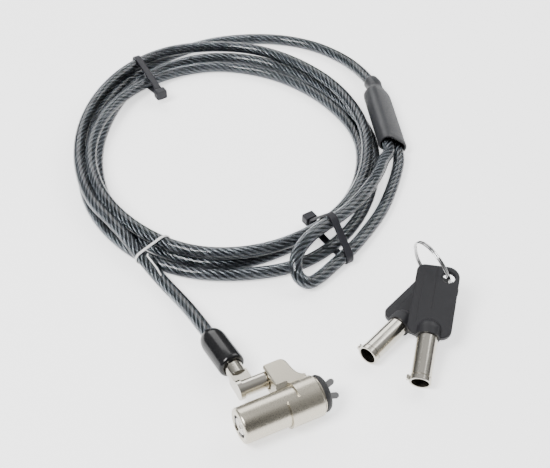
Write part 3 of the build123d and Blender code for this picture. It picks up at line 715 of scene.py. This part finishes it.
# ------------------------------------------------------------------ stage
def lay_floor(scene):
    bm = bmesh.new()
    bmesh.ops.create_grid(bm, x_segments=1, y_segments=1, size=FLOOR_HALF)
    bmesh.ops.translate(bm, verts=bm.verts, vec=(0, 0, FLOOR_Z - FLOOR_DROP))
    mesh = bpy.data.meshes.new("floor")
    bm.to_mesh(mesh)
    bm.free()
    floor = bpy.data.objects.new("floor", mesh)
    scene.collection.objects.link(floor)
    paper = bpy.data.materials.new("Pale floor")
    paper.use_nodes = True
    sheet = paper.node_tree.nodes["Principled BSDF"]
    sheet.inputs["Base Color"].default_value = (0.95, 0.95, 0.95, 1)
    sheet.inputs["Roughness"].default_value = 0.9
    sheet.inputs["Emission Color"].default_value = (1, 1, 1, 1)
    sheet.inputs["Emission Strength"].default_value = 1.3
    mesh.materials.append(paper)


def paint_sky(scene):
    """A grey sky that rises to white, with a dark screen for the metal to mirror."""
    world = bpy.data.worlds.new("Studio")
    world.use_nodes = True
    tree = world.node_tree
    background = tree.nodes["Background"]
    look = tree.nodes.new("ShaderNodeTexCoord").outputs["Generated"]
    rise = tree.nodes.new("ShaderNodeSeparateXYZ")
    tree.links.new(look, rise.inputs[0])
    sky = tree.nodes.new("ShaderNodeValToRGB")
    stops = sky.color_ramp.elements
    stops.new(0.5)
    for stop, (at, level) in zip(stops, SKY_STOPS):
        stop.color = (level, level, level * 1.01, 1.0)
        stop.position = at
    tree.links.new(rise.outputs["Z"], sky.inputs["Fac"])
    tree.links.new(sky.outputs["Color"], background.inputs["Color"])
    screen = tree.nodes.new("ShaderNodeVectorMath")
    screen.operation = "DOT_PRODUCT"
    screen.inputs[1].default_value = SCREEN_WAY
    tree.links.new(look, screen.inputs[0])
    level = map_range(tree, screen.outputs["Value"], *SCREEN_EDGE, *SCREEN_LEVELS)
    tree.links.new(level, background.inputs["Strength"])
    scene.world = world


def hang_lights(scene):
    for name, (place, width, watts) in LIGHTS.items():
        lamp = bpy.data.lights.new(name, "AREA")
        lamp.size = width
        lamp.energy = watts
        rig = bpy.data.objects.new(name, lamp)
        rig.location = LIT_MIDDLE + Vector(place)
        rig.rotation_euler = (LIT_MIDDLE - rig.location).to_track_quat("-Z", "Y").to_euler()
        scene.collection.objects.link(rig)


def set_camera(scene):
    lens = bpy.data.cameras.new("Camera")
    lens.lens = CAMERA_LENS
    lens.sensor_width = CAMERA_SENSOR
    camera = bpy.data.objects.new("Camera", lens)
    camera.location = CAMERA_PLACE
    camera.rotation_euler = (CAMERA_AIM - camera.location).to_track_quat("-Z", "Y").to_euler()
    scene.collection.objects.link(camera)
    scene.camera = camera


class SetStage(bpy.types.Operator):
    """Sets the plain floor, the sky, the soft lights and the camera"""

    bl_idname = "cable_lock.set_stage"
    bl_label = "Set the stage"

    def execute(self, context):
        lay_floor(context.scene)
        paint_sky(context.scene)
        hang_lights(context.scene)
        set_camera(context.scene)
        return {"FINISHED"}


# ------------------------------------------------------------------ sleeve and boot
def oval_ring(bm, centre, across, out, half_w, half_t, corner):
    """Ring of vertices on a rounded rectangle, in millimetres."""
    ring = []
    for k in range(RING_POINTS):
        a = 2 * math.pi * k / RING_POINTS
        x, y = math.cos(a), math.sin(a)
        w = (half_w - corner) * (1 if x > 1e-6 else -1 if x < -1e-6 else 0)
        t = (half_t - corner) * (1 if y > 1e-6 else -1 if y < -1e-6 else 0)
        ring.append(bm.verts.new((Vector(centre) + across * (w + corner * x) + out * (t + corner * y)) * MM))
    return ring


def skin(bm, rings, cap_ends=False):
    """Joins each ring of vertices to the next with a band of faces."""
    for low, high in zip(rings, rings[1:]):
        for k in range(len(low)):
            n = (k + 1) % len(low)
            bm.faces.new((low[k], low[n], high[n], high[k]))
    if cap_ends:
        bm.faces.new(rings[0][::-1])
        bm.faces.new(rings[-1])


class FitSleeve(bpy.types.Operator):
    """Shrinks the moulded sleeve over the crimp, with its flared neck and open mouth"""

    bl_idname = "cable_lock.fit_sleeve"
    bl_label = "Fit the sleeve"

    def execute(self, context):
        way, across, out = sleeve_axes()
        start = Vector(SLEEVE_START) + UP * SLEEVE_LIFT
        before, bend = Vector(TAIL[-2]), Vector(TAIL[-1])
        lean = (bend - before).normalized()
        neck_side = lean.cross(UP).normalized() * -1
        neck_out = neck_side.cross(lean) * -1
        bm = bmesh.new()
        rings = []
        for along, radius in NECK_RINGS:
            place = bend + lean * along
            rings.append(oval_ring(bm, place, neck_side, neck_out, radius, radius, radius * NECK_CORNER))
        for along, half_w, half_t in BODY_RINGS:
            place = start + way * along
            rings.append(oval_ring(bm, place, across, out, half_w, half_t, half_t * BODY_CORNER))
        skin(bm, rings, cap_ends=True)
        bmesh.ops.recalc_face_normals(bm, faces=bm.faces)
        sharpen(bm, SLEEVE_ANGLE)
        finished("sleeve_moulding", bm, "cable", "black_shrink", MATERIALS["black_shrink"], "shrink_sleeve")
        return {"FINISHED"}


class FitBoot(bpy.types.Operator):
    """Dips the glossy boot over the cable's end"""

    bl_idname = "cable_lock.fit_boot"
    bl_label = "Fit the boot"

    def execute(self, context):
        level = math.cos(BOOT_YAW) * math.cos(BOOT_DROP)
        axis = Vector((-math.sin(BOOT_YAW), level, -math.sin(BOOT_DROP))).normalized()
        dome = [
            (DOME_MIDDLE[0] + DOME_HALF[0] * math.sin(t), DOME_MIDDLE[1] + DOME_HALF[1] * math.cos(t))
            for t in (math.radians(degrees) for degrees in range(0, 91, DOME_STEP))
        ]
        bm = bmesh.new()
        turned(bm, [*BOOT_OUTSIDE, *dome, *BOOT_BORE])
        place = shift(*BOOT_START) @ axis.to_track_quat("X", "Z").to_matrix().to_4x4()
        bmesh.ops.transform(bm, matrix=place, verts=bm.verts)
        sharpen(bm, ROUND_ANGLE)
        finished("boot_dip", bm, "cable", "black_vinyl", MATERIALS["black_vinyl"], "cable_boot")
        return {"FINISHED"}


# ------------------------------------------------------------------ lock head
def cut_notches(bm):
    """Pushes two opposite stretches of the keyway's rim outwards."""
    for vert in bm.verts:
        radius = math.hypot(vert.co.y, vert.co.z)
        off = abs(math.sin(math.atan2(vert.co.z, vert.co.y) - NOTCH_TURN)) * radius
        if NOTCH_RIM[0] * MM < radius < NOTCH_RIM[1] * MM and off < NOTCH_HALF * MM:
            vert.co.yz *= NOTCH_RADIUS * MM / radius


def paint_keyway_shade(bm):
    """Paints shade into the keyway's recess by giving its walls the second, darker metal."""
    for face in bm.faces:
        middle = face.calc_center_median()
        radius = math.hypot(middle.y, middle.z)
        if middle.x > KEYWAY_FACE * MM and KEYWAY_RADII[0] * MM < radius < KEYWAY_RADII[1] * MM:
            face.material_index = 1


def turn_barrel():
    bm = bmesh.new()
    turned(bm, BARREL_SECTION)
    cut_notches(bm)
    sharpen(bm, TURNED_ANGLE)
    paint_keyway_shade(bm)
    body = finished("barrel_body", bm, "barrel", "satin_nickel", MATERIALS["satin_nickel"], "barrel_shell")
    # the second, darker metal is painted shade on the keyway's walls
    body.data.materials.append(MATERIALS["spring_steel"])


def turn_post():
    bm = bmesh.new()
    turned(bm, POST_SECTION, closed=False)
    sharpen(bm, TURNED_ANGLE)
    paint_keyway_shade(bm)
    post = finished("keyway_post", bm, "plug", "satin_nickel", MATERIALS["bright_nickel"], "key_plug")
    # the second, darker metal is painted shade on the keyway's walls
    post.data.materials.append(MATERIALS["spring_steel"])


class DressLockHead(bpy.types.Operator):
    """Turns the barrel and its keyway and softens the cast collar, elbow, nose and hooks"""

    bl_idname = "cable_lock.dress_lock_head"
    bl_label = "Dress the lock head"

    def execute(self, context):
        turn_barrel()
        turn_post()
        for node, body, slot, material, width in CASTINGS:
            dressed_copy(node + "_finish", node, body, slot, MATERIALS[material or slot], width)
        for node, material in INNER_METALS:
            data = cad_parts[node].data
            data.materials.clear()
            data.materials.append(MATERIALS[material])
        return {"FINISHED"}


# ------------------------------------------------------------------ ties and thread
def taut_round(place, way, thick, reach, held=()):
    """Line of a taut band round the strands that cross an upright plane and the held points, and its way."""
    origin, along = Vector((*place, 0.0)), Vector((*way, 0.0)).normalized()
    through = along.cross(UP)
    line = [ring[0] / MM for ring in centre_line(WINDING_STEP)]
    radius, low = sizes().cable_diameter / MM / 2 + thick / 2, FLOOR_LEVEL + thick / 2
    outline = [Vector(point) for point in held]
    for a, b in zip(line, line[1:]):
        da, db = (a - origin).dot(through), (b - origin).dot(through)
        if da * db > 0 or abs((a - origin).dot(along)) > reach:
            continue
        crossing = a.lerp(b, da / (da - db))
        wide = radius / max(abs((b - a).normalized().dot(through)), FLATTEST_CUT)
        for degrees in range(0, 360, ARC_STEP):
            t = math.radians(degrees)
            rise = max(crossing.z + radius * math.sin(t), low)
            outline.append(Vector(((crossing - origin).dot(along) + wide * math.cos(t), rise)))
    corners = [outline[i] for i in convex_hull_2d(outline)]
    loop = []
    for a, b in zip(corners, corners[1:] + corners[:1]):
        loop += [a.lerp(b, part / SPAN_PARTS) for part in range(SPAN_PARTS)]
    return [origin + along * p.x + UP * p.y for p in loop], through


def band(bm, loop, through, wide, thick):
    """A closed flat strap with softened edges along a loop, from its half width and half thickness."""
    half = (
        (wide - STRAP_EDGE, thick), (wide, thick - STRAP_EDGE), (wide, STRAP_EDGE - thick),
        (wide - STRAP_EDGE, -thick),
    )
    section = half + tuple((-w, -t) for w, t in half)
    rings = []
    for i, point in enumerate(loop):
        way = (loop[(i + 1) % len(loop)] - loop[i - 1]).normalized()
        out = way.cross(through)
        rings.append([bm.verts.new((point + through * w + out * t) * MM) for w, t in section])
    skin(bm, rings + rings[:1])
    bmesh.ops.recalc_face_normals(bm, faces=bm.faces)
    sharpen(bm, TURNED_ANGLE)


def thread_strand(bm, points, side, radius):
    """A round strand through points in millimetres."""
    rings = []
    for i, point in enumerate(points):
        way = (points[min(i + 1, len(points) - 1)] - points[max(i - 1, 0)]).normalized()
        across = (side - way * side.dot(way)).normalized()
        rings.append((point * MM, across, way.cross(across)))
    tube_along(bm, rings, radius * MM, THREAD_SIDES)


class PullTies(bpy.types.Operator):
    """Pulls the two ties and the thread round the coil"""

    bl_idname = "cable_lock.pull_ties"
    bl_label = "Pull the ties"

    def pull_tie(self, name, place, way, head):
        nylon = MATERIALS["black_nylon"]
        wide, thick = STRAP_HALF
        side, height = head
        held = [(side, height - HEAD_HALF), (side, height + HEAD_HALF)]
        loop, through = taut_round(place, way, 2 * thick, STRAP_REACH, held)
        bm = bmesh.new()
        band(bm, loop, through, wide, thick)
        finished(name + "_strap_finish", bm, "cable", "black_nylon", nylon, name + "_strap")
        dressed_copy(name + "_head_finish", name + "_head", "cable", "black_nylon", nylon, HEAD_EDGE)

    def tie_thread(self):
        loop, through = taut_round(THREAD_PLACE, THREAD_WAY, 2 * THREAD_RADIUS, THREAD_REACH)
        swing = [math.sin(math.pi * i / len(loop)) for i in range(len(loop))]
        bm = bmesh.new()
        for offset in (-THREAD_SPREAD, THREAD_SPREAD):
            points = [
                p + through * offset * (THREAD_PINCH + (1 - THREAD_PINCH) * s) for p, s in zip(loop, swing)
            ]
            thread_strand(bm, points + points[:1], through, THREAD_RADIUS)
        thread_strand(bm, [Vector(p) for p in THREAD_END], UP, THREAD_END_RADIUS)
        bmesh.ops.recalc_face_normals(bm, faces=bm.faces)
        finished("thread_loop_finish", bm, "cable", "clear_nylon", MATERIALS["clear_nylon"], "thread_loop")

    def execute(self, context):
        for name, (place, way, head) in TIES.items():
            self.pull_tie(name, place, way, head)
        self.tie_thread()
        return {"FINISHED"}


# ------------------------------------------------------------------ keys
def key_matrix(name):
    (x, y), yaw, rise = KEY_PLACES[name]
    turn = Matrix.Rotation(math.radians(yaw), 4, "Z")
    return shift(x, y, FLOOR_LEVEL + KEY_HEIGHT) @ turn @ Matrix.Rotation(math.radians(-rise), 4, "Y")


def hole_place(name):
    return (key_matrix(name) @ (Vector(KEY_HOLE) * MM)) / MM


def wind_ring():
    """Two turns of wire side by side, with one crossing over to the other half way."""
    upper, lower = hole_place("key_2"), hole_place("key_1")
    chord = lower - upper
    tangent = chord.normalized()
    away = Vector(RING_LEAN)
    away = (away - tangent * away.dot(tangent)).normalized()
    middle = (upper + lower) * 0.5 + away * math.sqrt(RING_RADIUS ** 2 - (chord.length / 2) ** 2)
    axis = away.cross(tangent)
    rings = []
    for i in range(RING_STEPS + 1):
        turn = 4 * math.pi * i / RING_STEPS
        out = away * math.cos(turn) + tangent * math.sin(turn)
        cross = min(max((i / RING_STEPS - CROSS_START) / CROSS_SHARE, 0.0), 1.0)
        side = -WIRE_RADIUS + 2 * WIRE_RADIUS * eased(cross)
        rings.append(((middle + out * RING_RADIUS + axis * side) * MM, out, axis))
    bm = bmesh.new()
    tube_along(bm, rings, WIRE_RADIUS * MM, WIRE_SIDES)
    bmesh.ops.recalc_face_normals(bm, faces=bm.faces)
    sharpen(bm, ROUND_ANGLE)
    finished("split_ring_wire", bm, "split_ring", "bright_steel", MATERIALS["bright_steel"], "key_ring")


class DressKeys(bpy.types.Operator):
    """Turns the tubular blades, moulds the bows and winds the split ring"""

    bl_idname = "cable_lock.dress_keys"
    bl_label = "Dress the keys"

    def blade(self, name, body):
        place, size, edge = BLADE_LUG
        bm = bmesh.new()
        turned(bm, BLADE_SECTION)
        block(bm, shift(*place), size, edge)
        bmesh.ops.transform(bm, matrix=key_matrix(name), verts=bm.verts)
        sharpen(bm, TURNED_ANGLE)
        finished(name + "_blade", bm, body, "bright_nickel", MATERIALS["bright_nickel"], name + "_tube")

    def bow(self, name, body):
        plastic = MATERIALS["black_plastic"]
        bm = merged_copy(name + "_bow")
        soften(bm, BOW_EDGE)
        for z in BOW_SIDES:
            for (x, y), size, edge in BOW_LINES:
                block(bm, key_matrix(name) @ shift(x, y, z), size, edge)
        shade_evenly(finished(name + "_moulding", bm, body, "black_plastic", plastic, name + "_bow"))

    def execute(self, context):
        for name, body in (("key_1", "key_a"), ("key_2", "key_b")):
            self.blade(name, body)
            self.bow(name, body)
        wind_ring()
        return {"FINISHED"}


class CableLockPanel(bpy.types.Panel):
    bl_idname = "VIEW3D_PT_cable_lock"
    bl_label = "Cable lock"
    bl_space_type = "VIEW_3D"
    bl_region_type = "UI"
    bl_category = "Cable lock"

    def draw(self, context):
        for operator in STEPS:
            self.layout.operator(operator.bl_idname)


STEPS = (SetStage, LayCable, FitSleeve, FitBoot, DressLockHead, PullTies, DressKeys)
CLASSES = (CableLockSizes, CableLockColours, *STEPS, CableLockPanel)


def register():
    for cls in CLASSES:
        bpy.utils.register_class(cls)
    bpy.types.Scene.cable_lock_sizes = bpy.props.PointerProperty(type=CableLockSizes)
    bpy.types.Scene.cable_lock_colours = bpy.props.PointerProperty(type=CableLockColours)


def unregister():
    del bpy.types.Scene.cable_lock_sizes
    del bpy.types.Scene.cable_lock_colours
    for cls in reversed(CLASSES):
        bpy.utils.unregister_class(cls)


def main():
    register()
    mix_materials()
    bpy.ops.cable_lock.set_stage()
    bpy.ops.cable_lock.lay_cable()
    bpy.ops.cable_lock.fit_sleeve()
    bpy.ops.cable_lock.fit_boot()
    bpy.ops.cable_lock.dress_lock_head()
    bpy.ops.cable_lock.pull_ties()
    bpy.ops.cable_lock.dress_keys()


if __name__ == "__main__":
    main()
